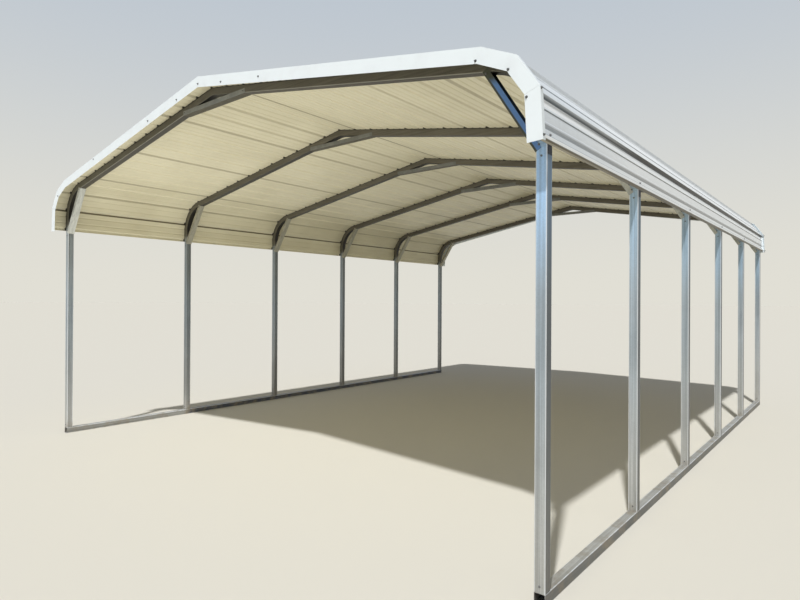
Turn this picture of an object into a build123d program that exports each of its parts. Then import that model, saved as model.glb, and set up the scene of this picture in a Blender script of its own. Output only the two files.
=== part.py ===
"""Open carport with a rounded-eave metal roof: square-tube frames on base rails,
channel braces, ribbed sheets laid along the length, and folded trim on both ends.

Units are millimetres. +X is to the right seen from the front, +Y runs to the rear and
+Z is up. The origin is on the ground, at the middle of the width and of the length.
"""
from build123d import *
from math import atan2, cos, degrees, pi, radians, sin, tan
import os

# Frames: six of square galvanised tube, one at each end of five bays
BAY = 1524.0
BAYS = 5
WIDTH = 6096.0  # over the outer faces of the posts
TUBE = 63.5
TUBE_WALL = 2.1
TUBE_CORNER = 2.5  # flat along each edge, for the tube's small radius
POST_TOP = 2380.0  # where the post meets the leg of the bow
BEND_START = 2516.0  # height at which the leg starts to curve in
EAVE_RADIUS = 400.0  # outer face of the tube
PEAK_RADIUS = 300.0
ROOF_PITCH = 10.0  # degrees

# Braces: folded channel that straddles the tube
CHANNEL_WALL = 2.0
CHANNEL_DEPTH = 38.0
CHANNEL_FOLD = 1.5  # flat along each fold
CORNER_BRACE_FOOT = 2358.0  # height where its back touches the post
CORNER_BRACE_REACH = 322.5  # how far in from the post it meets the bow
PEAK_BRACE_LENGTH = 914.4

# Roof sheets: wide ribs, with two low ribs between each pair of them
SHEET_THICKNESS = 1.2
SHEET_OVERHANG = 172.0  # beyond the centre of each end frame
RIB_PITCH = 228.0
RIBS_OVER_ROOF = 30
SHEET_LAPS = [2, 6, 10, 14, 18, 22, 26, 29]  # ribs, counted from the right edge
RIB_HEIGHT = 19.0
RIB_BASE = 44.0
RIB_CREST = 16.0
LOW_RIB_HEIGHT = 3.5
LOW_RIB_BASE = 22.0
LOW_RIB_CREST = 8.0
LAP_LEG = 12.0  # flat edge of the upper sheet, past the rib at a lap

# End trim: an angle folded round the roof edge, its corners as (X, Z). A leg piece of its
# own starts at the seam.
TRIM_FACE = 88.0
TRIM_FLANGE = 30.0
TRIM_THICKNESS = 1.5
TRIM_SEAM = 1.2  # width of the gap
TRIM_SEAM_CORNER = 3
TRIM_CORNERS = [
    (0.0, 3440.0),
    (2735.0, 2930.0),
    (2948.0, 2831.0),
    (3076.0, 2648.0),
    (3092.0, 2376.0),
]

# Worked out from the dimensions above
HALF_WIDTH = WIDTH / 2
PITCH = radians(ROOF_PITCH)
FRAME_PLACES = [BAY * (i - BAYS / 2) for i in range(BAYS + 1)]
SHEET_LENGTH = BAY * BAYS + 2 * SHEET_OVERHANG
EAVE_CENTRE = (HALF_WIDTH - EAVE_RADIUS, BEND_START)
EAVE_END = (EAVE_CENTRE[0] + EAVE_RADIUS * sin(PITCH), EAVE_CENTRE[1] + EAVE_RADIUS * cos(PITCH))
APEX = EAVE_END[1] + EAVE_END[0] * tan(PITCH)
PEAK_TANGENT = PEAK_RADIUS * tan(PITCH)
EAVE_ARC = EAVE_RADIUS * (pi / 2 - PITCH)
PEAK_ARC = PEAK_RADIUS * 2 * PITCH
SLOPE = EAVE_END[0] / cos(PITCH) - PEAK_TANGENT
HALF_ROOF = RIBS_OVER_ROOF * RIB_PITCH / 2
SHEET_DROP = HALF_ROOF - EAVE_ARC - SLOPE - PEAK_ARC / 2  # straight run below the bend


def roof_point(along, height=0.0):
    """Return (x, z) on the frame's outer face, or so much above it.

    along is measured over the roof from the middle of the lowest rib on the right.
    """
    if along > HALF_ROOF:
        x, z = roof_point(2 * HALF_ROOF - along, height)
        return (-x, z)
    past_leg = along - SHEET_DROP
    past_bend = past_leg - EAVE_ARC
    past_slope = past_bend - SLOPE
    if past_leg <= 0:
        return (HALF_WIDTH + height, BEND_START + past_leg)
    if past_bend <= 0:
        angle = past_leg / EAVE_RADIUS
        reach = EAVE_RADIUS + height
        return (EAVE_CENTRE[0] + reach * cos(angle), EAVE_CENTRE[1] + reach * sin(angle))
    if past_slope <= 0:
        x = EAVE_END[0] - past_bend * cos(PITCH) + height * sin(PITCH)
        z = EAVE_END[1] + past_bend * sin(PITCH) + height * cos(PITCH)
        return (x, z)
    angle = PITCH - past_slope / PEAK_RADIUS
    reach = PEAK_RADIUS + height
    peak_centre = APEX - PEAK_RADIUS / cos(PITCH)
    return (reach * sin(angle), peak_centre + reach * cos(angle))


BENDS = [SHEET_DROP, SHEET_DROP + EAVE_ARC, SHEET_DROP + EAVE_ARC + SLOPE]
BENDS += [2 * HALF_ROOF - place for place in reversed(BENDS)]
CURVED = [(BENDS[0], BENDS[1]), (BENDS[2], BENDS[3]), (BENDS[4], BENDS[5])]


def is_curved(start, end):
    """Say whether a stretch of the roof line lies on a bend."""
    middle = (start + end) / 2
    return any(first < middle < last for first, last in CURVED)


def roof_edges(stations, y):
    """Return the edges through stations, which are (along, height) pairs, at one y."""
    edges = []
    for (start, low), (end, high) in zip(stations, stations[1:]):
        first = roof_point(start, low)
        last = roof_point(end, high)
        if low == high and is_curved(start, end):
            middle = roof_point((start + end) / 2, low)
            edges.append(ThreePointArc(*[(x, y, z) for x, z in (first, middle, last)]))
        else:
            edges.append(Line((first[0], y, first[1]), (last[0], y, last[1])))
    return edges


def roof_band(inner, outer, y, length):
    """Extrude the closed shape between two lists of stations, from y along the roof."""
    edges = roof_edges(inner, y) + roof_edges(outer, y)
    for end in (0, -1):
        first = roof_point(*inner[end])
        last = roof_point(*outer[end])
        edges.append(Line((first[0], y, first[1]), (last[0], y, last[1])))
    return extrude(Face(Wire(edges)), amount=length, dir=(0, 1, 0))


def with_bends(stations):
    """Add a station where a level stretch runs onto or off a bend."""
    full = [stations[0]]
    for (start, low), (end, high) in zip(stations, stations[1:]):
        if low == high:
            full += [(place, low) for place in BENDS if start < place < end]
        full.append((end, high))
    return full


def tube_section():
    bore = TUBE - 2 * TUBE_WALL
    outside = chamfer(Rectangle(TUBE, TUBE).vertices(), TUBE_CORNER)
    return outside - Rectangle(bore, bore)


def square_tube(length):
    """Return a tube that stands on the origin."""
    return extrude(tube_section(), amount=length)


def base_rail(side):
    length = BAY * BAYS + TUBE
    rail = Rot(-90, 0, 0) * square_tube(length)
    return Pos(side * (HALF_WIDTH - TUBE / 2), -length / 2, TUBE / 2) * rail


def post(side, y):
    return Pos(side * (HALF_WIDTH - TUBE / 2), y, TUBE) * square_tube(POST_TOP - TUBE)


def bow(y):
    """Return one roof frame: two legs, two eave bends, two slopes and the peak bend."""
    leg_end = SHEET_DROP - (BEND_START - POST_TOP)
    middle = -TUBE / 2
    path = Wire(roof_edges(with_bends([(leg_end, middle), (2 * HALF_ROOF - leg_end, middle)]), y))
    start = Plane(origin=path @ 0, z_dir=path % 0)
    return sweep(start * tube_section(), path=path)


def channel(length):
    """Return a channel along X, its back centred under the origin and its legs up."""
    on_back = (Align.CENTER, Align.MIN)
    outside = Rectangle(TUBE + 2 * CHANNEL_WALL, CHANNEL_DEPTH, align=on_back)
    outside = chamfer(outside.vertices().group_by(Axis.Y)[0], CHANNEL_FOLD)
    inside = Pos(0, CHANNEL_WALL) * Rectangle(TUBE, CHANNEL_DEPTH, align=on_back)
    return Pos(0, 0, -CHANNEL_WALL) * extrude(Plane.YZ * (outside - inside), amount=length / 2, both=True)


def underside_of_slope(x):
    """Return the height of a bow's lower face at x, away from the bends."""
    return APEX - TUBE / cos(PITCH) - abs(x) * tan(PITCH)


def corner_brace(side, y):
    """Return a brace whose back meets the post and the underside of the bow."""
    foot = Vector(HALF_WIDTH - TUBE, 0, CORNER_BRACE_FOOT)
    head_x = foot.X - CORNER_BRACE_REACH
    head = Vector(head_x, 0, underside_of_slope(head_x))
    run = head - foot
    lean = Vector(-1, 0, 0).get_angle(run)
    brace = Rot(0, lean, 0) * channel(run.length)
    brace = Pos(*((foot + head) / 2)) * brace
    if side < 0:
        brace = mirror(brace, about=Plane.YZ)
    return Pos(0, y, 0) * brace


def corner_braces(y):
    return Compound([corner_brace(-1, y), corner_brace(1, y)])


def peak_brace(y):
    return Pos(0, y, underside_of_slope(PEAK_BRACE_LENGTH / 2)) * channel(PEAK_BRACE_LENGTH)


def rib(centre, height, base, crest):
    """Return the four stations of one rib's face."""
    return [
        (centre - base / 2, 0.0),
        (centre - crest / 2, height),
        (centre + crest / 2, height),
        (centre + base / 2, 0.0),
    ]


def sheet(first, last, lap_first, lap_last):
    """Return a sheet between two ribs, given by number along the roof.

    At a lap the sheet's edge rib covers its neighbour's, which ends past its crest.
    """
    stations = []
    for number in range(first, last + 1):
        centre = number * RIB_PITCH
        stations += rib(centre, RIB_HEIGHT, RIB_BASE, RIB_CREST)
        if number < last:
            for third in (1, 2):
                place = centre + third * RIB_PITCH / 3
                stations += rib(place, LOW_RIB_HEIGHT, LOW_RIB_BASE, LOW_RIB_CREST)
    if lap_first:
        stations = lap_stations(first * RIB_PITCH, -1) + stations[4:]
    elif first > 0:
        stations = stations[1:]
    if lap_last:
        stations = stations[:-4] + lap_stations(last * RIB_PITCH, 1)
    elif last < RIBS_OVER_ROOF:
        stations = stations[:-1]
    inner = with_bends(stations)
    outer = [(place, height + SHEET_THICKNESS) for place, height in inner]
    return roof_band(inner, outer, -SHEET_LENGTH / 2, SHEET_LENGTH)


def lap_stations(centre, outward):
    """Return the edge of a sheet that lies over its neighbour's rib."""
    crest = RIB_HEIGHT + SHEET_THICKNESS
    half_base = RIB_BASE / 2
    over = [
        (centre - outward * half_base, 0.0),
        (centre - outward * RIB_CREST / 2, crest),
        (centre + outward * RIB_CREST / 2, crest),
        (centre + outward * half_base, SHEET_THICKNESS),
        (centre + outward * (half_base + LAP_LEG), SHEET_THICKNESS),
    ]
    return over if outward > 0 else over[::-1]


def inset_corners(corners, distance):
    """Move a run of straight lines inwards, keeping its mitres."""
    points = [Vector(*corner) for corner in corners]
    runs = [(end - start).normalized() for start, end in zip(points, points[1:])]
    inwards = [Vector(run.Y, -run.X) for run in runs]
    inset = []
    for point, before, after in zip(points, inwards[:1] + inwards, inwards + inwards[-1:]):
        mitre = (before + after).normalized()
        inset.append(point + mitre * (distance / mitre.dot(before)))
    return [(point.X, point.Y) for point in inset]


def trim_inside(width):
    """Return the inner corners of a strip along one half of the trim's outline."""
    other_half = [(-x, z) for x, z in TRIM_CORNERS[:0:-1]]
    return inset_corners(other_half + TRIM_CORNERS, width)[len(other_half):]


def trim_strip(width, depth):
    outline = TRIM_CORNERS + trim_inside(width)[::-1]
    return extrude(Plane.XZ * make_face(Polyline(*outline, close=True)), amount=depth)


def trim_seam():
    """Return the gap between the upper piece and the leg piece, along their mitre."""
    outer = Vector(*TRIM_CORNERS[TRIM_SEAM_CORNER])
    inner = Vector(*trim_inside(TRIM_FACE)[TRIM_SEAM_CORNER])
    slant = degrees(atan2(outer.Y - inner.Y, outer.X - inner.X))
    middle = (outer + inner) / 2
    return Pos(middle.X, 0, middle.Y) * Rot(0, -slant, 0) * Box(2 * TRIM_FACE, 4 * TRIM_FLANGE, TRIM_SEAM)


def trim(side, front):
    """Return one half of an end trim: a face across the sheets' ends and a flange over them."""
    half = trim_strip(TRIM_FACE, TRIM_THICKNESS)
    half += Pos(0, TRIM_FLANGE - TRIM_THICKNESS, 0) * trim_strip(TRIM_THICKNESS, TRIM_FLANGE)
    half = Pos(0, -SHEET_LENGTH / 2, 0) * (half - trim_seam())
    if side < 0:
        half = mirror(half, about=Plane.YZ)
    if not front:
        half = mirror(half, about=Plane.XZ)
    return half


def make_parts():
    parts = {}
    for name, side in (("left", -1), ("right", 1)):
        parts[f"base_rail_{name}"] = base_rail(side)
        for number, y in enumerate(FRAME_PLACES, 1):
            parts[f"post_{name}_{number}"] = post(side, y)
        parts[f"trim_front_{name}"] = trim(side, True)
        parts[f"trim_rear_{name}"] = trim(side, False)
    for number, y in enumerate(FRAME_PLACES, 1):
        parts[f"bow_{number}"] = bow(y)
        parts[f"corner_braces_{number}"] = corner_braces(y)
        parts[f"peak_brace_{number}"] = peak_brace(y)
    sheets = ["eave_sheet_right", "roof_sheet_right_1", "roof_sheet_right_2", "roof_sheet_right_3"]
    sheets += ["ridge_sheet"]
    sheets += ["roof_sheet_left_3", "roof_sheet_left_2", "roof_sheet_left_1", "eave_sheet_left"]
    edges = [0, *SHEET_LAPS, RIBS_OVER_ROOF]
    peak = RIBS_OVER_ROOF / 2
    for name, first, last in zip(sheets, edges, edges[1:]):
        parts[name] = sheet(first, last, 0 < first < peak, peak < last < RIBS_OVER_ROOF)
    return parts


os.makedirs("parts", exist_ok=True)
for part_name, shape in make_parts().items():
    export_step(shape, f"parts/{part_name}.step")
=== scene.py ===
import math

import bmesh
import bpy
from mathutils import Matrix, Vector
from mathutils.bvhtree import BVHTree


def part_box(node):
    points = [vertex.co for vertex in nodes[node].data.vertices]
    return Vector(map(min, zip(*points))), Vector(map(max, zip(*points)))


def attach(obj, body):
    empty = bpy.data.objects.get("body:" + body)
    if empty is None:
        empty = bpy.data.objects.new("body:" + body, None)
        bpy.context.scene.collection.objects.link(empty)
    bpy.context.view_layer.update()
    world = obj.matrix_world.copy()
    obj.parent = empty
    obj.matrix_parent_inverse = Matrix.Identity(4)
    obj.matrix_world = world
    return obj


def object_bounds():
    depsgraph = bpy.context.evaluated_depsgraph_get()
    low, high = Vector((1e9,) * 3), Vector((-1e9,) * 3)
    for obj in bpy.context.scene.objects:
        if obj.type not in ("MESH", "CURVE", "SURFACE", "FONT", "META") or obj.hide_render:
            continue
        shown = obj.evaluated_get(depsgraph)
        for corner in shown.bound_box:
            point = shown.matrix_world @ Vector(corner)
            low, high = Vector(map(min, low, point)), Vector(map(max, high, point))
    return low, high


# An open metal carport: galvanised square-tube frames under a ribbed roof, white above and
# cream below, with a folded white trim round each end. Metres, +Y to the rear, +Z up.

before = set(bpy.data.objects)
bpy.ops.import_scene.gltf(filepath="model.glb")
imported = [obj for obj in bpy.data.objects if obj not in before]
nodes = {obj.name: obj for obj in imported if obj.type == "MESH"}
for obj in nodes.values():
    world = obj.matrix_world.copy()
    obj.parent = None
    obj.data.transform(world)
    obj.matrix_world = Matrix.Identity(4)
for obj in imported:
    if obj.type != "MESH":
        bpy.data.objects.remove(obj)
cad_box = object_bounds()

# The posts and frames, and where the first frame ends and the second and the middle lie. Here
# and below, such a pair of places is where one shade fades into the next.
HALF_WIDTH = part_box("post_right_1")[1].x
TUBE = HALF_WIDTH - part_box("post_right_1")[0].x
JOINT_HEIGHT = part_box("post_right_1")[1].z
FRAMES = [sum((corner.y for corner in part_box(f"post_right_{i}"))) / 2 for i in range(1, 7)]
BAY = FRAMES[1] - FRAMES[0]
FIRST_FRAME_END = (FRAMES[0] + 0.1, FRAMES[0] + 0.2)
SECOND_FRAME = (FRAMES[1] - 0.05, FRAMES[1] + 0.05)
MIDDLE = (-0.1, 0.1)
FRONT_Y, REAR_Y = cad_box[0].y, cad_box[1].y
SIDES = (-1, 1)

# Line of the roof, as its frames are bent. Places along it start at the lowest rib's middle.
EAVE_RADIUS = 0.4
PEAK_RADIUS = 0.3
ROOF_PITCH = math.radians(10)
BEND_START = 2.516
RIB_PITCH = 0.228
RIBS_OVER_ROOF = 30
HALF_ROOF = RIBS_OVER_ROOF * RIB_PITCH / 2
EAVE_CENTRE_X = HALF_WIDTH - EAVE_RADIUS
EAVE_END_X = EAVE_CENTRE_X + EAVE_RADIUS * math.sin(ROOF_PITCH)
EAVE_END_Z = BEND_START + EAVE_RADIUS * math.cos(ROOF_PITCH)
EAVE_ARC = EAVE_RADIUS * (math.pi / 2 - ROOF_PITCH)
PEAK_ARC = PEAK_RADIUS * ROOF_PITCH
SLOPE = EAVE_END_X / math.cos(ROOF_PITCH) - PEAK_RADIUS * math.tan(ROOF_PITCH)
SHEET_DROP = HALF_ROOF - EAVE_ARC - SLOPE - PEAK_ARC
APEX = EAVE_END_Z + EAVE_END_X * math.tan(ROOF_PITCH)

# The sheets' ribs, and the middle of a flank, from the middle of its rib
RIB_BASE, RIB_CREST = 0.044, 0.016
LOW_RIB_BASE, LOW_RIB_CREST = 0.022, 0.008
FLANK = (RIB_BASE + RIB_CREST) / 4
LOW_FLANK = (LOW_RIB_BASE + LOW_RIB_CREST) / 4

# The camera stands outside the front right corner, at eye height
CAMERA_PLACE = (4.3263, -6.6074, 1.5718)
CAMERA_TURN = math.radians(39.156)
CAMERA_TILT = math.radians(0.169)
CAMERA_ROLL = math.radians(0.298)
CAMERA_LENS = 25.764

# Light
SUN_FROM = Vector((0.225, -0.615, 1.0))
SUN_STRENGTH = 3.05
SUN_ANGLE = math.radians(2)
SKY_LIGHT = 0.30
SKY_TINT = (0.94, 0.97, 1.0, 1)
UNDER_LIGHT_POWER = 56.0
UNDER_LIGHT_SIZE = (4.2, 2.6)
UNDER_LIGHT_PLACE = (-0.8, -3.1, 0.02)
FLOOR = (0.69, 0.665, 0.595, 1)
FLOOR_SIZE = 400.0
HORIZON = (0.755, 0.738, 0.665, 1)
BACKDROP = (0.50, 0.56, 0.63, 1)
BACKDROP_TOP = 0.55

# Scales of the zinc's spangle, and of its roll and brush marks along X, Y and Z, small along
# the piece
TUBE_SPANGLE, BRACE_SPANGLE = 160.0, 130.0
POST_MARKS, RAIL_MARKS, BOW_MARKS = (90.0, 90.0, 0.8), (90.0, 0.8, 90.0), (1.0, 90.0, 90.0)
BRACE_MARKS = (14.0, 60.0, 14.0)
MARK_DEPTH = 0.0006
# Where most values of a noise lie
NOISE_SPAN = (0.3, 0.7)

# Zinc of the posts and rails, which changes with height, with a painted reflection that is
# bluer at the top, most at the front right
POST_ZINC_LOW = (0.46, 0.465, 0.45, 1)
POST_ZINC = (0.35, 0.405, 0.45, 1)
POST_TOP_REFLECTION = (0.36, 0.49, 0.62, 1)
POST_TOP_REFLECTION_LEFT = (0.33, 0.37, 0.385, 1)
POST_TOP_REFLECTION_FIRST = (0.42, 0.61, 0.84, 1)
POST_ZINC_HEIGHTS = (0.1, 1.5, 2.2)
# A painted highlight on the tubes' corners, and how far in from a corner it fades in
CORNER_HIGHLIGHT = (0.82, 0.85, 0.88, 1)
CORNER_EDGE = (0.0065, 0.003)
# Painted shade on the left rail behind the second frame
LEFT_RAIL_SHADE = (0.12, 0.137, 0.17, 1)
# Shade on the outer faces just under the sheets' edge, and dirt at the feet
LEG_SHADE = (0.012, 0.016, 0.026, 1)
LEG_SHADE_HEIGHTS = (2.335, 2.345)
DIRT = (0.30, 0.25, 0.18, 1)
DIRT_HEIGHT = 0.30

# The share of its lightness that a tube's outer and its inner face keeps, and a left post
# behind the first, as painted shade, and the ways that those faces are turned
OUTER_SHADE_LEVEL, INNER_SHADE_LEVEL = 0.36, 0.72
LEFT_SHADE_LEVEL = 0.78
FACING_OUT, FACING_IN = (0.75, 0.95), (-0.95, -0.75)

# Zinc under the roof: the bows, darker from the posts' tops up, partly as duller zinc and
# partly as painted shade, and the braces
BOW_ZINC_AND_SHADE = (0.125, 0.115, 0.090, 1)
BOW_HEIGHTS = (JOINT_HEIGHT - 0.02, JOINT_HEIGHT + 0.12)
# A painted highlight on the first bow's lower corners
BOW_EDGE_HIGHLIGHT = (0.24, 0.23, 0.19, 1)
# The braces' own zinc
BRACE_ZINC = (0.37, 0.38, 0.355, 1)
# Painted shade: on the left braces behind the first, under the peak braces, and a deep one in
# gaps, hollows and channels; and where the peak braces start
LEFT_BRACE_SHADE = (0.29, 0.28, 0.225, 1)
PEAK_UNDERSIDE_SHADE = (0.070, 0.062, 0.035, 1)
DEEP_SHADE = (0.015, 0.014, 0.010, 1)
PEAK_BRACE_HEIGHTS = (2.95, 3.15)
# Ways of facing down, where bows and braces take painted shade underneath
BOW_UNDERSIDE, BRACE_UNDERSIDE = (-0.95, -0.6), (-0.95, -0.7)
# Painted shade in the crescents between bow and brace: half the eave's, its faded end, and the
# peak's start
EAVE_CRESCENT, EAVE_CRESCENT_END = 0.24, 0.08
PEAK_CRESCENT = (HALF_ROOF - 0.32, HALF_ROOF - 0.26)
INNER_FACE = (TUBE - 0.004, TUBE - 0.001)
# Below the first value a channel's wall is seen from inside, and above the second its back
WALL_INSIDE, BACK_INSIDE = -0.02, 0.2

# How far out the corner braces start, and the front right one's painted blue reflection, with
# painted shade on its top and its inner edge. Its inner edge is a band of places along a line
# towards the bay.
CORNER_BRACE_X = (2.3, 2.4)
BLUE_REFLECTION = (0.13, 0.26, 0.53, 1)
BLUE_REFLECTION_SHADE = (0.075, 0.08, 0.06, 1)
BLUE_REFLECTION_SHADED_TOP = (2.76, 2.82)
TOWARDS_BAY = (-0.839, 0.0, -0.544)
BRACE_EDGE = (-3.799, -3.795)

# Paint of the sheets' outer side, with painted shade below the ribs that grows towards the rear,
# painted shade under the hem, and painted light on the hem and towards the rear
OUTER_WHITE = (0.75, 0.80, 0.85, 1)
OUTER_DUST = (0.58, 0.60, 0.61, 1)
UNDER_RIB_SHADE = (0.050, 0.072, 0.095, 1)
UNDER_RIB_SHADE_REAR = (0.012, 0.012, 0.012, 1)
TOWARDS_REAR = (-4.0, -2.2)
REAR_LIT_WHITE = (0.90, 0.93, 0.95, 1)
HEM_UNDER_SHADE = (0.34, 0.31, 0.24, 1)
HEM_UNDER_SHADE_REAR = (0.10, 0.09, 0.07, 1)
HIGHLIGHT_WHITE = (0.93, 0.95, 0.96, 1)

# Where that side takes painted light or painted shade, beside a rib's middle or over the roof.
# The lit bands, the broad and low ribs' shade and the hem's foot are a middle and half a width.
LIT_BESIDE_RIB = (-0.044, 0.018)
LIT_EAVE = (0.27, 0.14)
REAR_LIT_END = (0.40, 0.45)
RIB_SHADE_FADE = (-0.020, -0.006)
BROAD_SHADE = (-0.027, 0.007)
LOW_RIB_SHADE = (-LOW_FLANK, 0.0022)
LOW_SHADE_START = (0.09, 0.12)
SHADE_END = (0.25, 0.42)
FLAT_SHADE_START, FLAT_SHADE_END = (0.048, 0.051), (0.052, 0.092)
HEM_FOOT = (RIB_BASE / 2 + 0.001, 0.001)
HEM_FLANK = (-0.0105, -0.0085)
HEM_EDGE = (-0.017, -0.015)

# Paint of their inner side, paler in the ribs and on a flank as painted light, and its painted
# shade, most at the laps, by the ribs' numbers from the right edge
CREAM = (0.60, 0.556, 0.392, 1)
CREAM_PALE = (0.66, 0.616, 0.442, 1)
CREAM_LIT_IN_RIBS = (0.71, 0.67, 0.50, 1)
CREAM_LIT_ON_FLANK = (0.76, 0.715, 0.54, 1)
SEAM_SHADE = (0.11, 0.09, 0.05, 1)
RIB_FLANK_SHADE = {
    4: 0.18, 5: 0.36, 6: 0.18, 8: 0.22, 14: 0.50, 16: 0.22, 17: 0.16, 18: 0.36, 22: 0.39,
    26: 0.45, 28: 0.36, 29: 0.92,
}

# Paint of the trims, with painted shade on top, and the screws' own finishes
TRIM_WHITE = (0.85, 0.91, 0.94, 1)
TRIM_DUST = (0.70, 0.72, 0.74, 1)
FACING_UP = (0.3, 0.7)
SCREW_GREY = (0.20, 0.20, 0.20)
RUBBER_BLACK = (0.03, 0.03, 0.03)

# Self-drilling screws: a hexagonal head with a flange, on a rubber washer. Each part is sunk
# a little in the one below.
HEAD_ACROSS = 0.0095
HEAD_HEIGHT = 0.0050
HEAD_START = 0.0010
FLANGE_ACROSS = 0.0130
FLANGE_HEIGHT = 0.0015
WASHER_ACROSS = 0.0160
WASHER_HEIGHT = 0.0022
SUNK = 0.0003
ROUND_SIDES, HEAD_SIDES = 12, 6
# How wide each one's top is, as a share of its foot
HEAD_TOP, FLANGE_TOP, WASHER_TOP = 0.92, 0.8, 0.85
# From one screw's turn to the next one's, in radians
SCREW_TURN = 2.4

# How far above a surface the ray starts that seats a screw
REACH = 0.1

# Screws of the sheets: how far over the roof they are from the middle of a wide rib, and the
# lowest ones from the lowest rib's
BESIDE_RIB = 0.045
ABOVE_HEM = 0.028

# Screws in a trim's face, as (x, z)
TRIM_FACE_SCREWS = [
    (-2.911, 2.771), (-1.978, 3.054), (-0.829, 3.231), (-0.328, 3.318), (0.007, 3.377),
    (0.337, 3.316), (0.820, 3.240), (2.701, 2.863), (2.897, 2.768), (3.001, 2.603),
]
# And in its flange: how far over the roof from the lowest rib's middle, how far above it
# their ray starts, and how far they are from the trim's face
TRIM_FLANGE_SCREWS = (-0.0125, 0.212)
FLANGE_REACH = 0.15
FROM_FACE = 0.010

# Screws in the corner and peak braces, as (x, z), and how far the posts' screws are below
# their joint and above the rail
BRACE_SCREWS = ((3.002, 2.395), (2.682, 2.842), (0.435, 3.262))
BELOW_JOINT = 0.045
ABOVE_RAIL = 0.035


def new_material(name):
    """Return a node material, its node tree and its Principled shader."""
    material = bpy.data.materials.new(name)
    material.use_nodes = True
    tree = material.node_tree
    return material, tree, tree.nodes["Principled BSDF"]


def node(tree, kind, settings=None, **inputs):
    """Add a shader node. Inputs are sockets to link from, or plain values.

    An input is given by its name, or by its number after a low line.
    """
    made = tree.nodes.new(kind)
    for name, value in (settings or {}).items():
        setattr(made, name, value)
    for name, value in inputs.items():
        key = int(name[1:]) if name[0] == "_" else name.replace("_", " ")
        connect(tree, value, made.inputs[key])
    return made


def connect(tree, value, socket):
    """Link a socket to another, or set its plain value."""
    if isinstance(value, bpy.types.NodeSocket):
        tree.links.new(value, socket)
    else:
        socket.default_value = value


def maths(tree, operation, first, second=0.0, clamp=False):
    """Return the result of a Math node."""
    settings = {"operation": operation, "use_clamp": clamp}
    return node(tree, "ShaderNodeMath", settings, _0=first, _1=second).outputs[0]


def times(tree, value, *factors):
    """Multiply a value by one or more others."""
    for factor in factors:
        value = maths(tree, "MULTIPLY", value, factor)
    return value


def most(tree, value, *others):
    """Return the highest of two or more values."""
    for other in others:
        value = maths(tree, "MAXIMUM", value, other)
    return value


def spread(tree, value, low, high, to_low=0.0, to_high=1.0):
    """Map a value from one range to another, smoothly and without leaving the second."""
    settings = {"interpolation_type": "SMOOTHSTEP"}
    made = node(
        tree, "ShaderNodeMapRange", settings,
        Value=value, From_Min=low, From_Max=high, To_Min=to_low, To_Max=to_high,
    )
    return made.outputs[0]


def within(tree, value, middle, half, edge):
    """Return 1 where a value is within half of middle, fading to 0 over edge."""
    away = maths(tree, "ABSOLUTE", maths(tree, "SUBTRACT", value, middle))
    return spread(tree, away, half, half + edge, 1.0, 0.0)


def from_nearest(tree, value, first, step):
    """Return how far a value is from the nearest of evenly spaced ones, and its number."""
    steps = maths(tree, "DIVIDE", maths(tree, "SUBTRACT", value, first), step)
    number = maths(tree, "FLOOR", maths(tree, "ADD", steps, 0.5))
    return times(tree, maths(tree, "SUBTRACT", steps, number), step), number


def blend(tree, factor, first, second):
    """Mix two colours."""
    made = node(tree, "ShaderNodeMix", {"data_type": "RGBA"})
    connect(tree, factor, made.inputs[0])
    connect(tree, first, made.inputs[6])
    connect(tree, second, made.inputs[7])
    return made.outputs[2]


def scaled(tree, colour, level):
    """Make a colour lighter or darker."""
    made = node(tree, "ShaderNodeVectorMath", {"operation": "SCALE"}, _0=colour, Scale=level)
    return made.outputs[0]


def place(tree):
    """Return the socket of the point's place on the carport, and its X, Y and Z."""
    at = node(tree, "ShaderNodeTexCoord").outputs["Object"]
    split = node(tree, "ShaderNodeSeparateXYZ", Vector=at)
    return at, split.outputs[0], split.outputs[1], split.outputs[2]


def faces(tree):
    """Return the X, Y and Z of the way that the surface faces."""
    normal = node(tree, "ShaderNodeNewGeometry").outputs["True Normal"]
    return node(tree, "ShaderNodeSeparateXYZ", Vector=normal).outputs


def noise(tree, at, scale, detail=2.0, roughness=0.5):
    """Return soft noise, of one size all ways."""
    made = node(
        tree, "ShaderNodeTexNoise", Vector=at, Scale=scale, Detail=detail, Roughness=roughness
    )
    return made.outputs["Fac"]


def streaked(tree, at, scales, detail, roughness=0.6):
    """Return noise with its own scale along X, Y and Z."""
    stretched = node(tree, "ShaderNodeMapping", Vector=at, Scale=scales).outputs[0]
    return noise(tree, stretched, 1.0, detail, roughness)


def spangle(tree, at, scale):
    """Return a value for each crystal of the zinc."""
    crystals = node(tree, "ShaderNodeTexVoronoi", {"feature": "F1"}, Vector=at, Scale=scale)
    return node(tree, "ShaderNodeSeparateXYZ", Vector=crystals.outputs["Color"]).outputs[0]


def add_bump(tree, shader, height, strength, distance):
    """Let a height show as small unevenness of the surface."""
    made = node(
        tree, "ShaderNodeBump", Height=height, Strength=strength, Distance=distance
    )
    connect(tree, made.outputs[0], shader.inputs["Normal"])


def on_first_frame(tree, y):
    """Return 1 on the first frame and 0 behind it."""
    return spread(tree, y, *FIRST_FRAME_END, 1.0, 0.0)


def on_right_side(tree, x):
    """Return 1 on the right side of the carport and 0 on the left."""
    return spread(tree, x, *MIDDLE)


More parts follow.
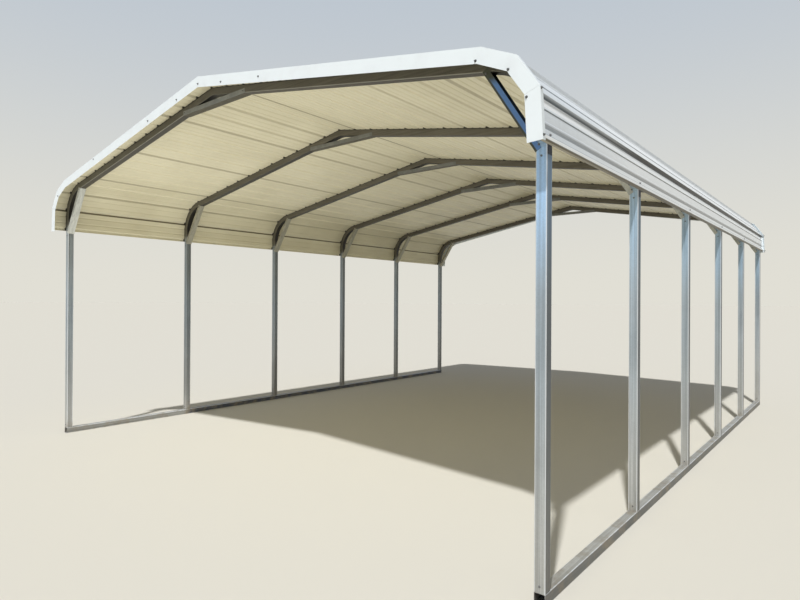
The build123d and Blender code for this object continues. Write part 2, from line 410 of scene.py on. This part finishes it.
def roof_line(tree, x, z):
    """Return how deep a point lies inside the frames' outer line, and its place along it.

    The place is measured over the roof from the lowest rib of the same side. A point beside
    the leg or the slope is first moved along it to the eave bend, so one circle serves for
    all three.
    """
    cos, sin = math.cos(ROOF_PITCH), math.sin(ROOF_PITCH)
    beside = maths(tree, "SUBTRACT", maths(tree, "ABSOLUTE", x), EAVE_CENTRE_X)
    above = maths(tree, "SUBTRACT", z, BEND_START)
    on_leg = maths(tree, "MINIMUM", above, 0.0)
    on_slope = maths(tree, "SUBTRACT", times(tree, above, sin), times(tree, beside, cos))
    on_slope = maths(tree, "MAXIMUM", on_slope, 0.0)
    bend_x = maths(tree, "ADD", beside, times(tree, on_slope, cos))
    bend_z = maths(tree, "SUBTRACT", above, on_leg)
    bend_z = maths(tree, "SUBTRACT", bend_z, times(tree, on_slope, sin))
    arm = node(tree, "ShaderNodeCombineXYZ", X=bend_x, Z=bend_z).outputs[0]
    reach = node(tree, "ShaderNodeVectorMath", {"operation": "LENGTH"}, _0=arm)
    turn = maths(tree, "ARCTAN2", bend_z, bend_x)
    along = maths(tree, "ADD", times(tree, turn, EAVE_RADIUS), SHEET_DROP)
    along = maths(tree, "ADD", along, maths(tree, "ADD", on_leg, on_slope))
    return maths(tree, "SUBTRACT", EAVE_RADIUS, reach.outputs["Value"]), along


def outwards(tree, x, z):
    """Return how far the surface faces away from under the roof: above 0 on its outer side."""
    inner_x = node(tree, "ShaderNodeClamp", Value=x, Min=-EAVE_CENTRE_X, Max=EAVE_CENTRE_X)
    away_x = maths(tree, "SUBTRACT", x, inner_x.outputs[0])
    away_z = maths(tree, "SUBTRACT", z, BEND_START)
    away = node(tree, "ShaderNodeCombineXYZ", X=away_x, Z=away_z).outputs[0]
    away = node(tree, "ShaderNodeVectorMath", {"operation": "NORMALIZE"}, _0=away).outputs[0]
    facing = node(tree, "ShaderNodeNewGeometry").outputs["True Normal"]
    dot = node(tree, "ShaderNodeVectorMath", {"operation": "DOT_PRODUCT"}, _0=away, _1=facing)
    return dot.outputs["Value"]


def galvanised(part, marks, metallic):
    """Zinc-coated tube: fine spangle and roll marks along the piece, with a painted reflection,
    painted shade and a painted highlight on its rolled corners.

    part is posts, rails or bows, and marks the scales of its roll marks.
    """
    material, tree, shader = new_material(f"galvanised_{part}")
    at, x, y, z = place(tree)
    depth, along = roof_line(tree, x, z)
    first = on_first_frame(tree, y)
    right = on_right_side(tree, x)
    facing = faces(tree)
    outer = times(tree, facing[0], maths(tree, "SIGN", x))
    roofed = spread(tree, z, *BOW_HEIGHTS)
    left_rear = maths(tree, "SUBTRACT", maths(tree, "SUBTRACT", 1.0, right), first, True)

    # Spangle and roll marks, and a painted reflection by height, side and frame
    grains = spangle(tree, at, TUBE_SPANGLE)
    streaks = streaked(tree, at, marks, 3.0)
    colour = zinc_with_painted_reflection(tree, z, first, right)
    # Painted shade on the tubes' outer and inner faces
    outer_shade = spread(tree, outer, *FACING_OUT, 1.0, OUTER_SHADE_LEVEL)
    level = times(
        tree, uneven_zinc(tree, at, grains, streaks), outer_shade,
        spread(tree, outer, *FACING_IN, INNER_SHADE_LEVEL, 1.0),
    )
    # Painted shade on the left posts behind the first
    if part == "posts":
        level = times(tree, level, spread(tree, left_rear, 0.0, 1.0, 1.0, LEFT_SHADE_LEVEL))
    # Painted shade on the left rail behind the second frame
    if part == "rails":
        behind = spread(tree, y, *SECOND_FRAME)
        rail_shade = maths(tree, "SUBTRACT", behind, right, True)
        colour = blend(tree, rail_shade, colour, LEFT_RAIL_SHADE)
    # Bows: darker under the roof, partly duller zinc and partly painted shade, with painted shade
    # underneath; the first bow is lighter, as painted light
    if part == "bows":
        colour = blend(tree, roofed, colour, BOW_ZINC_AND_SHADE)
        underside_shade = times(
            tree, spread(tree, facing[2], *BOW_UNDERSIDE, 1.0, 0.0),
            spread(tree, first, 0.0, 1.0, 0.75, 0.45),
        )
        level = times(
            tree, level, maths(tree, "SUBTRACT", 1.0, underside_shade),
            spread(tree, first, 0.0, 1.0, 1.12, 0.96),
        )
    colour = scaled(tree, colour, level)

    # Painted highlight on the corners, where the tube is out in the open
    corner = rolled_corner(tree, y, z, depth, part)
    highlight = times(tree, corner, spread(tree, outer_shade, OUTER_SHADE_LEVEL, 1.0, 0.2, 0.85))
    # The left posts behind the first lose the painted highlight, as painted shade
    if part == "posts":
        highlight = times(tree, highlight, spread(tree, left_rear, 0.0, 1.0, 1.0, 0.1))
    if part == "bows":
        highlight = times(tree, highlight, maths(tree, "SUBTRACT", 1.0, roofed))
    colour = blend(tree, highlight, colour, CORNER_HIGHLIGHT)
    if part == "bows":
        colour = bow_edges(tree, colour, times(tree, corner, roofed), first, depth, along)

    rough = spread(tree, streaks, *NOISE_SPAN, 0.40, 0.52)
    rough = maths(tree, "ADD", rough, times(tree, grains, 0.06))
    rough = maths(tree, "SUBTRACT", rough, times(tree, corner, 0.10))
    connect(tree, tube_ends(tree, colour, at, z, outer), shader.inputs["Base Color"])
    connect(tree, rough, shader.inputs["Roughness"])
    shader.inputs["Metallic"].default_value = metallic
    add_bump(tree, shader, streaks, 0.25, MARK_DEPTH)
    return material


def zinc_with_painted_reflection(tree, z, first, right):
    """Return the posts' and rails' colour by height, with a painted reflection that is bluer at
    the top and to the right.
    """
    low, middle, high = POST_ZINC_HEIGHTS
    reflected = blend(tree, right, POST_TOP_REFLECTION_LEFT, POST_TOP_REFLECTION)
    reflected = blend(tree, times(tree, first, right), reflected, POST_TOP_REFLECTION_FIRST)
    colour = blend(tree, spread(tree, z, low, middle), POST_ZINC_LOW, POST_ZINC)
    return blend(tree, spread(tree, z, middle, high), colour, reflected)


def uneven_zinc(tree, at, grains, streaks):
    """Return how light the zinc is in its crystals, roll marks and clouds."""
    clouds = noise(tree, at, 2.5, 3.0)
    level = maths(tree, "ADD", times(tree, grains, 0.10), 0.95)
    return times(
        tree, level, spread(tree, streaks, *NOISE_SPAN, 0.80, 1.18),
        spread(tree, clouds, 0.35, 0.7, 0.92, 1.06),
    )


def tube_ends(tree, colour, at, z, outer):
    """Shade the outer faces' tops, under the sheets' edge, and put dirt on the feet."""
    leg_top = times(
        tree, spread(tree, outer, *FACING_OUT), spread(tree, z, *LEG_SHADE_HEIGHTS)
    )
    colour = blend(tree, leg_top, colour, LEG_SHADE)
    dirt = times(
        tree, spread(tree, z, 0.0, DIRT_HEIGHT, 0.7, 0.0),
        spread(tree, noise(tree, at, 9.0, 5.0, 0.65), 0.42, 0.70),
    )
    return blend(tree, dirt, colour, DIRT)


def rolled_corner(tree, y, z, depth, part):
    """Return 1 on a tube's four corners and 0 on its faces."""
    across = maths(tree, "SUBTRACT", depth, TUBE / 2)
    if part == "rails":
        sideways = maths(tree, "SUBTRACT", z, TUBE / 2)
    else:
        sideways = from_nearest(tree, y, FRAMES[0], BAY)[0]
    across = maths(tree, "ABSOLUTE", across)
    sideways = maths(tree, "ABSOLUTE", sideways)
    nearer = maths(tree, "MINIMUM", across, sideways)
    start, end = CORNER_EDGE
    return spread(tree, nearer, TUBE / 2 - start, TUBE / 2 - end)


def bow_edges(tree, colour, edge, first, depth, along):
    """Line a bow's corners: a painted highlight on the first one's lower side, and painted shade
    on the upper side.

    The crescents behind the braces take painted shade too.
    """
    lower = maths(tree, "GREATER_THAN", depth, TUBE / 2)
    colour = blend(tree, times(tree, edge, lower, first), colour, BOW_EDGE_HIGHLIGHT)
    upper = times(tree, edge, maths(tree, "SUBTRACT", 0.8, lower, True))
    colour = blend(tree, upper, colour, DEEP_SHADE)
    eave = SHEET_DROP + EAVE_ARC / 2
    at_eave = within(tree, along, eave, EAVE_CRESCENT, EAVE_CRESCENT_END)
    at_peak = spread(tree, along, *PEAK_CRESCENT)
    inner = spread(tree, depth, *INNER_FACE)
    painted_shade = times(tree, most(tree, at_eave, at_peak), inner, 0.85)
    return blend(tree, painted_shade, colour, DEEP_SHADE)


def galvanised_braces():
    """The folded channels: zinc with brush marks, painted light and shade, and painted shade
    inside.
    """
    material, tree, shader = new_material("galvanised_braces")
    at, x, y, z = place(tree)
    first = on_first_frame(tree, y)
    facing = faces(tree)
    near_peak = spread(tree, z, *PEAK_BRACE_HEIGHTS)

    grains = spangle(tree, at, BRACE_SPANGLE)
    marks = streaked(tree, at, BRACE_MARKS, 3.0)
    level = maths(tree, "ADD", times(tree, grains, 0.12), 0.92)
    # Painted shade underneath and on the peak braces, and painted light on the corner braces and
    # on the first frame's
    level = times(
        tree, level, spread(tree, marks, *NOISE_SPAN, 0.84, 1.12),
        spread(tree, facing[2], *BRACE_UNDERSIDE, 0.3, 1.0),
        spread(tree, z, *PEAK_BRACE_HEIGHTS, 1.3, 0.55),
        spread(tree, first, 0.0, 1.0, 1.0, 1.25),
    )
    # Painted shade on the left braces behind the first
    left = spread(tree, times(tree, x, -1.0), *CORNER_BRACE_X)
    left_rear = maths(tree, "SUBTRACT", left, first, True)
    colour = scaled(tree, blend(tree, left_rear, BRACE_ZINC, LEFT_BRACE_SHADE), level)

    # The front right brace: a painted blue reflection, with painted shade on its top and its edge
    # towards the bay
    inwards = node(
        tree, "ShaderNodeVectorMath", {"operation": "DOT_PRODUCT"}, _0=at, _1=TOWARDS_BAY
    )
    edge = spread(tree, inwards.outputs["Value"], *BRACE_EDGE)
    shaded_parts = most(tree, edge, spread(tree, z, *BLUE_REFLECTION_SHADED_TOP))
    blue = blend(tree, shaded_parts, BLUE_REFLECTION, BLUE_REFLECTION_SHADE)
    colour = blend(tree, times(tree, first, spread(tree, x, *CORNER_BRACE_X)), colour, blue)

    # Painted shade on the undersides at the peak, and inside the channels
    underside_shade = times(tree, spread(tree, facing[2], *BRACE_UNDERSIDE, 0.8, 0.0), near_peak)
    colour = blend(tree, underside_shade, colour, PEAK_UNDERSIDE_SHADE)
    sideways = from_nearest(tree, y, FRAMES[0], BAY)[0]
    wall_inside = maths(tree, "LESS_THAN", times(tree, sideways, facing[1]), WALL_INSIDE)
    back_inside = maths(tree, "GREATER_THAN", outwards(tree, x, z), BACK_INSIDE)
    inside = times(tree, most(tree, wall_inside, back_inside), 0.85)
    colour = blend(tree, inside, colour, DEEP_SHADE)

    connect(tree, colour, shader.inputs["Base Color"])
    connect(tree, spread(tree, marks, *NOISE_SPAN, 0.42, 0.56), shader.inputs["Roughness"])
    shader.inputs["Metallic"].default_value = 0.3
    add_bump(tree, shader, marks, 0.2, MARK_DEPTH)
    return material


def roof_paint():
    """Baked paint on steel sheet: white on the outer side and cream on the inner one."""
    material, tree, shader = new_material("roof_sheet_paint")
    at, x, y, z = place(tree)
    along = roof_line(tree, x, z)[1]
    from_rib, number = from_nearest(tree, along, 0.0, RIB_PITCH)
    white = white_dust_and_shade(tree, at, y, along, from_rib)
    cream = cream_light_and_shade(tree, at, x, y, from_rib, number)
    outer = maths(tree, "GREATER_THAN", outwards(tree, x, z), 0.0)
    connect(tree, blend(tree, outer, cream, white), shader.inputs["Base Color"])
    shader.inputs["Roughness"].default_value = 0.38
    add_bump(tree, shader, streaked(tree, at, (6.0, 1.5, 6.0), 1.0, 0.5), 0.35, 0.002)
    return material


def white_dust_and_shade(tree, at, y, along, from_rib):
    """Return the outer side's colour: white, with dust, painted shade below the ribs and under
    the hem, and painted light.
    """
    dust = streaked(tree, at, (1.6, 9.0, 1.6), 4.0)
    white = blend(tree, spread(tree, dust, 0.42, 0.8, 0.0, 0.4), OUTER_WHITE, OUTER_DUST)
    to_rear = spread(tree, y, *TOWARDS_REAR)

    # Painted light beside the ribs at the eave, on the lowest rib, and towards the rear
    lit_foot = times(
        tree, within(tree, from_rib, *LIT_BESIDE_RIB, 0.006),
        within(tree, along, *LIT_EAVE, 0.03),
    )
    white = blend(tree, lit_foot, white, HIGHLIGHT_WHITE)
    white = blend(tree, within(tree, along, 0.0, RIB_CREST / 2 - 0.001, 0.002), white, HIGHLIGHT_WHITE)
    rear_lit = times(tree, to_rear, spread(tree, along, *REAR_LIT_END, 1.0, 0.0))
    white = blend(tree, rear_lit, white, REAR_LIT_WHITE)

    # Painted shade below each wide rib, in a broader band towards the rear
    below_rib = within(tree, from_rib, -FLANK, FLANK - RIB_CREST / 2 - 0.001, 0.002)
    fade = most(tree, spread(tree, from_rib, *RIB_SHADE_FADE, 1.0, 0.4), to_rear)
    broader = within(tree, from_rib, *BROAD_SHADE, 0.0015)
    below_rib = most(tree, times(tree, below_rib, fade), times(tree, broader, to_rear))

    # Painted shade below each low rib, on the flat above the hem, and at the hem's foot
    from_low = maths(tree, "SUBTRACT", maths(tree, "ABSOLUTE", from_rib), RIB_PITCH / 3)
    from_low = times(tree, from_low, maths(tree, "SIGN", from_rib))
    below_low = times(
        tree, within(tree, from_low, *LOW_RIB_SHADE, 0.0015),
        spread(tree, along, *LOW_SHADE_START, 0.5, 0.8),
    )
    painted_rib_shade = times(
        tree, most(tree, below_rib, below_low), spread(tree, along, *SHADE_END, 1.0, 0.12)
    )
    flat_shade = maths(
        tree, "MINIMUM", spread(tree, along, *FLAT_SHADE_START),
        spread(tree, along, *FLAT_SHADE_END, 0.62, 0.0),
    )
    hem_foot = times(tree, within(tree, along, *HEM_FOOT, 0.002), 0.4)
    shade_colour = blend(tree, to_rear, UNDER_RIB_SHADE, UNDER_RIB_SHADE_REAR)
    white = blend(tree, most(tree, painted_rib_shade, flat_shade, hem_foot), white, shade_colour)

    # Painted shade on the lowest rib's lower flank, and on the edge below it
    white = blend(tree, spread(tree, along, *HEM_FLANK, 1.0, 0.0), white, SEAM_SHADE)
    hem_shade = blend(tree, to_rear, HEM_UNDER_SHADE, HEM_UNDER_SHADE_REAR)
    return blend(tree, spread(tree, along, *HEM_EDGE, 1.0, 0.0), white, hem_shade)


def cream_light_and_shade(tree, at, x, y, from_rib, number):
    """Return the inner side's colour: cream, paler in the ribs as painted light, with painted
    shade at the laps and in the hollows over the frames.
    """
    patches = noise(tree, at, 1.3, 3.0)
    cream = blend(tree, spread(tree, patches, 0.35, 0.65), CREAM, CREAM_PALE)
    # Paler in the ribs' hollows, as painted light
    in_rib = within(tree, from_rib, 0.0, RIB_BASE / 2 - 0.004, 0.004)
    cream = blend(tree, times(tree, in_rib, 0.8), cream, CREAM_LIT_IN_RIBS)

    # The flank where sheets lap, paler as painted light, with painted shade. Ribs are numbered
    # from the right edge here.
    side = maths(tree, "SIGN", x)
    to_right = times(tree, from_rib, side)
    in_lap = within(tree, to_right, FLANK, FLANK - RIB_CREST / 2, 0.003)
    from_peak = times(tree, maths(tree, "SUBTRACT", RIBS_OVER_ROOF / 2, number), side)
    from_right = maths(tree, "SUBTRACT", RIBS_OVER_ROOF / 2, from_peak)
    painted_shade = 0.0
    for rib, amount in RIB_FLANK_SHADE.items():
        here = maths(tree, "COMPARE", from_right, rib)
        painted_shade = most(tree, painted_shade, times(tree, here, amount))
    cream = blend(tree, in_lap, cream, CREAM_LIT_ON_FLANK)
    cream = blend(tree, times(tree, in_lap, painted_shade), cream, SEAM_SHADE)

    # Painted shade in the hollows over the frames
    from_frame = from_nearest(tree, y, FRAMES[0], BAY)[0]
    over_frame = within(tree, from_frame, 0.0, TUBE / 2 + 0.001, 0.006)
    beside_frame = times(tree, within(tree, from_frame, 0.0, TUBE / 2 + 0.006, 0.006), in_rib)
    hollow = times(tree, most(tree, over_frame, beside_frame), 0.9)
    return blend(tree, hollow, cream, DEEP_SHADE)


def trim_paint():
    """White paint with dust, a little darker on top as painted shade."""
    material, tree, shader = new_material("trim_paint")
    at = place(tree)[0]
    dust = noise(tree, at, 7.0, 4.0)
    # Painted shade on the faces that look up, then dust
    colour = blend(tree, spread(tree, faces(tree)[2], *FACING_UP), TRIM_WHITE, OUTER_WHITE)
    colour = blend(tree, spread(tree, dust, 0.45, 0.8, 0.0, 0.3), colour, TRIM_DUST)
    connect(tree, colour, shader.inputs["Base Color"])
    shader.inputs["Roughness"].default_value = 0.33
    return material


def plain_finish(name, colour, roughness, metallic=0.0):
    """A small part's finish, with a little unevenness."""
    material, tree, shader = new_material(name)
    at = place(tree)[0]
    uneven = spread(tree, noise(tree, at, 260.0), *NOISE_SPAN, 0.8, 1.15)
    connect(tree, scaled(tree, colour, uneven), shader.inputs["Base Color"])
    shader.inputs["Roughness"].default_value = roughness
    shader.inputs["Metallic"].default_value = metallic
    return material


def finish_nodes():
    """Give every frame, brace, sheet and trim its finish."""
    braces = galvanised_braces()
    sheets = roof_paint()
    finishes = {
        "post": galvanised("posts", POST_MARKS, 0.45),
        "base": galvanised("rails", RAIL_MARKS, 0.45),
        "bow": galvanised("bows", BOW_MARKS, 0.3),
        "corner": braces, "peak": braces,
        "eave": sheets, "roof": sheets, "ridge": sheets,
        "trim": trim_paint(),
    }
    for name, item in nodes.items():
        item.data.materials.clear()
        item.data.materials.append(finishes[name.split("_")[0]])


def roof_place(along):
    """Return a point on the frames' outer line and the direction outwards there, as (x, z).

    along is measured over the roof from the lowest rib of the right side.
    """
    if along > HALF_ROOF:
        point, out = roof_place(2 * HALF_ROOF - along)
        return Vector((-point.x, point.y)), Vector((-out.x, out.y))
    past_leg = along - SHEET_DROP
    past_bend = past_leg - EAVE_ARC
    past_slope = past_bend - SLOPE
    if past_leg <= 0:
        return Vector((HALF_WIDTH, BEND_START + past_leg)), Vector((1, 0))
    if past_bend <= 0:
        turn = past_leg / EAVE_RADIUS
        out = Vector((math.cos(turn), math.sin(turn)))
        return Vector((EAVE_CENTRE_X, BEND_START)) + out * EAVE_RADIUS, out
    if past_slope <= 0:
        out = Vector((math.sin(ROOF_PITCH), math.cos(ROOF_PITCH)))
        run = Vector((-math.cos(ROOF_PITCH), math.sin(ROOF_PITCH)))
        return Vector((EAVE_END_X, EAVE_END_Z)) + run * past_bend, out
    turn = ROOF_PITCH - past_slope / PEAK_RADIUS
    out = Vector((math.sin(turn), math.cos(turn)))
    return Vector((0, APEX - PEAK_RADIUS / math.cos(ROOF_PITCH))) + out * PEAK_RADIUS, out


def surface(*words):
    """Return a tree to cast rays on, of the nodes whose names start with one of the words."""
    points, triangles = [], []
    for name, item in nodes.items():
        if name.startswith(words):
            first = len(points)
            points += [v.co.copy() for v in item.data.vertices]
            triangles += [[first + i for i in face.vertices] for face in item.data.polygons]
    return BVHTree.FromPolygons(points, triangles)


def seat(tree, above, inwards):
    """Return where a screw that comes from above meets the surface, and which way it faces."""
    hit, facing, _, _ = tree.ray_cast(above, inwards)
    if hit is None:
        raise ValueError(f"no surface under the screw at {tuple(above)}")
    return hit, facing


def add_disc(bm, seated, facing, turn, start, height, across, sides, top_share):
    """Add a short cone that stands on a surface, or starts so much above or below it."""
    upright = facing.to_track_quat("Z", "Y").to_matrix().to_4x4()
    place_at = Matrix.Translation(seated + facing * (start + height / 2)) @ upright
    bmesh.ops.create_cone(
        bm, cap_ends=True, segments=sides, radius1=across / 2, radius2=across / 2 * top_share,
        depth=height, matrix=place_at @ Matrix.Rotation(turn, 4, "Z"),
    )


def screws(name, places, washers=True):
    """Make one piece of all the heads in places, and one of their washers."""
    lift = WASHER_HEIGHT if washers else 0.0
    heads = bmesh.new()
    for number, (seated, facing) in enumerate(places):
        turn = number * SCREW_TURN
        add_disc(
            heads, seated, facing, turn, lift - SUNK, FLANGE_HEIGHT,
            FLANGE_ACROSS, ROUND_SIDES, FLANGE_TOP,
        )
        add_disc(
            heads, seated, facing, turn, lift + HEAD_START, HEAD_HEIGHT,
            HEAD_ACROSS, HEAD_SIDES, HEAD_TOP,
        )
    add_piece(name, heads, SCREW_STEEL)
    if not washers:
        return
    rubbers = bmesh.new()
    for number, (seated, facing) in enumerate(places):
        add_disc(
            rubbers, seated, facing, number * SCREW_TURN, -SUNK, WASHER_HEIGHT + SUNK,
            WASHER_ACROSS, ROUND_SIDES, WASHER_TOP,
        )
    add_piece(name + "_washers", rubbers, RUBBER)


def add_piece(name, bm, material):
    """Make an object of a finished bmesh, and let it ride on the carport."""
    mesh = bpy.data.meshes.new(name)
    bm.to_mesh(mesh)
    bm.free()
    mesh.materials.append(material)
    piece = bpy.data.objects.new(name, mesh)
    bpy.context.scene.collection.objects.link(piece)
    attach(piece, "root")


def sheet_screws():
    """At each frame, beside each wide rib but the second from the lower edge."""
    sheets = surface("eave_sheet", "roof_sheet", "ridge_sheet")
    spots = [ABOVE_HEM]
    spots += [number * RIB_PITCH + BESIDE_RIB for number in range(2, RIBS_OVER_ROOF // 2)]
    spots.append(HALF_ROOF - BESIDE_RIB)
    spots += [2 * HALF_ROOF - along for along in spots]
    places = []
    for y in FRAMES:
        for along in spots:
            point, out = roof_place(along)
            above = point + out * REACH
            start = Vector((above.x, y, above.y))
            places.append(seat(sheets, start, Vector((-out.x, 0, -out.y))))
    screws("sheet_screws", places)


def trim_screws():
    """On the trims' faces, a little above their lower edge, and on their flanges."""
    trims = surface("trim")
    places = []
    for y, towards in ((FRONT_Y, 1), (REAR_Y, -1)):
        for x, z in TRIM_FACE_SCREWS:
            start = Vector((x, y - towards * REACH, z))
            places.append(seat(trims, start, Vector((0, towards, 0))))
        for along in TRIM_FLANGE_SCREWS:
            point, out = roof_place(along)
            above = point + out * FLANGE_REACH
            for side in SIDES:
                start = Vector((side * above.x, y + towards * FROM_FACE, above.y))
                places.append(seat(trims, start, Vector((-side * out.x, 0, -out.y))))
    screws("trim_screws", places)


def tube_screws():
    """Through the braces' walls, the joints of posts and bows, and the feet of the posts."""
    braces = surface("corner_braces", "peak_brace")
    tubes = surface("post", "bow")
    tube_middle = HALF_WIDTH - TUBE / 2
    tube_heights = (JOINT_HEIGHT - BELOW_JOINT, TUBE + ABOVE_RAIL)
    brace_places, tube_places = [], []
    for y in FRAMES:
        for towards in (1, -1):
            start_y = y - towards * REACH
            inwards = Vector((0, towards, 0))
            for side in SIDES:
                for x, z in BRACE_SCREWS:
                    start = Vector((side * x, start_y, z))
                    brace_places.append(seat(braces, start, inwards))
                for z in tube_heights:
                    start = Vector((side * tube_middle, start_y, z))
                    tube_places.append(seat(tubes, start, inwards))
    screws("brace_screws", brace_places, washers=False)
    screws("tube_screws", tube_places, washers=False)


def make_floor():
    """A plain pale floor."""
    mesh = bpy.data.meshes.new("floor")
    bm = bmesh.new()
    bmesh.ops.create_grid(bm, x_segments=1, y_segments=1, size=FLOOR_SIZE)
    bm.to_mesh(mesh)
    bm.free()
    floor = bpy.data.objects.new("floor", mesh)
    bpy.context.scene.collection.objects.link(floor)
    material = bpy.data.materials.new("floor")
    material.use_nodes = True
    tree = material.node_tree
    tree.nodes.clear()
    matt = node(tree, "ShaderNodeBsdfDiffuse", Color=FLOOR)
    node(tree, "ShaderNodeOutputMaterial", Surface=matt.outputs[0])
    mesh.materials.append(material)


def make_lamps():
    """A soft sun, and a soft light from the floor, thrown up under the roof."""
    sun = bpy.data.lights.new("sun", "SUN")
    sun.energy = SUN_STRENGTH
    sun.angle = SUN_ANGLE
    lamp = bpy.data.objects.new("sun", sun)
    lamp.rotation_mode = "QUATERNION"
    lamp.rotation_quaternion = SUN_FROM.to_track_quat("Z", "Y")
    bpy.context.scene.collection.objects.link(lamp)

    under = bpy.data.lights.new("under_roof", "AREA")
    under.shape = "RECTANGLE"
    under.size, under.size_y = UNDER_LIGHT_SIZE
    under.energy = UNDER_LIGHT_POWER
    lamp = bpy.data.objects.new("under_roof", under)
    lamp.location = UNDER_LIGHT_PLACE
    lamp.rotation_euler = (math.pi, 0, 0)
    lamp.visible_camera = False
    lamp.visible_glossy = False
    bpy.context.scene.collection.objects.link(lamp)


def make_sky():
    """A dim even light from all round, and a pale backdrop that only the camera and gloss see."""
    world = bpy.data.worlds.new("world")
    bpy.context.scene.world = world
    world.use_nodes = True
    tree = world.node_tree
    tree.nodes.clear()
    path = node(tree, "ShaderNodeLightPath").outputs
    seen = most(
        tree, path["Is Camera Ray"], path["Is Glossy Ray"], path["Is Transmission Ray"]
    )
    light = node(tree, "ShaderNodeBackground", Color=SKY_TINT, Strength=SKY_LIGHT)
    direction = node(tree, "ShaderNodeTexCoord").outputs["Generated"]
    height = node(tree, "ShaderNodeSeparateXYZ", Vector=direction).outputs[2]
    shade = blend(tree, spread(tree, height, 0.0, BACKDROP_TOP), HORIZON, BACKDROP)
    backdrop = node(tree, "ShaderNodeBackground", Color=shade, Strength=1.0)
    mixed = node(
        tree, "ShaderNodeMixShader", _0=seen, _1=light.outputs[0], _2=backdrop.outputs[0]
    )
    node(tree, "ShaderNodeOutputWorld", Surface=mixed.outputs[0])


def make_camera():
    """Set up the view of the photograph."""
    data = bpy.data.cameras.new("camera")
    data.lens = CAMERA_LENS
    data.sensor_width = 36.0
    camera = bpy.data.objects.new("camera", data)
    turned = Matrix.Translation(CAMERA_PLACE) @ Matrix.Rotation(CAMERA_TURN, 4, "Z")
    tilted = turned @ Matrix.Rotation(math.pi / 2 + CAMERA_TILT, 4, "X")
    camera.matrix_world = tilted @ Matrix.Rotation(CAMERA_ROLL, 4, "Z")
    bpy.context.scene.collection.objects.link(camera)
    bpy.context.scene.camera = camera


SCREW_STEEL = plain_finish("screw_steel", SCREW_GREY, 0.45, 0.8)
RUBBER = plain_finish("washer_rubber", RUBBER_BLACK, 0.7)
finish_nodes()
sheet_screws()
trim_screws()
tube_screws()
make_floor()
make_lamps()
make_sky()
make_camera()
bpy.context.scene.view_settings.view_transform = "Standard"
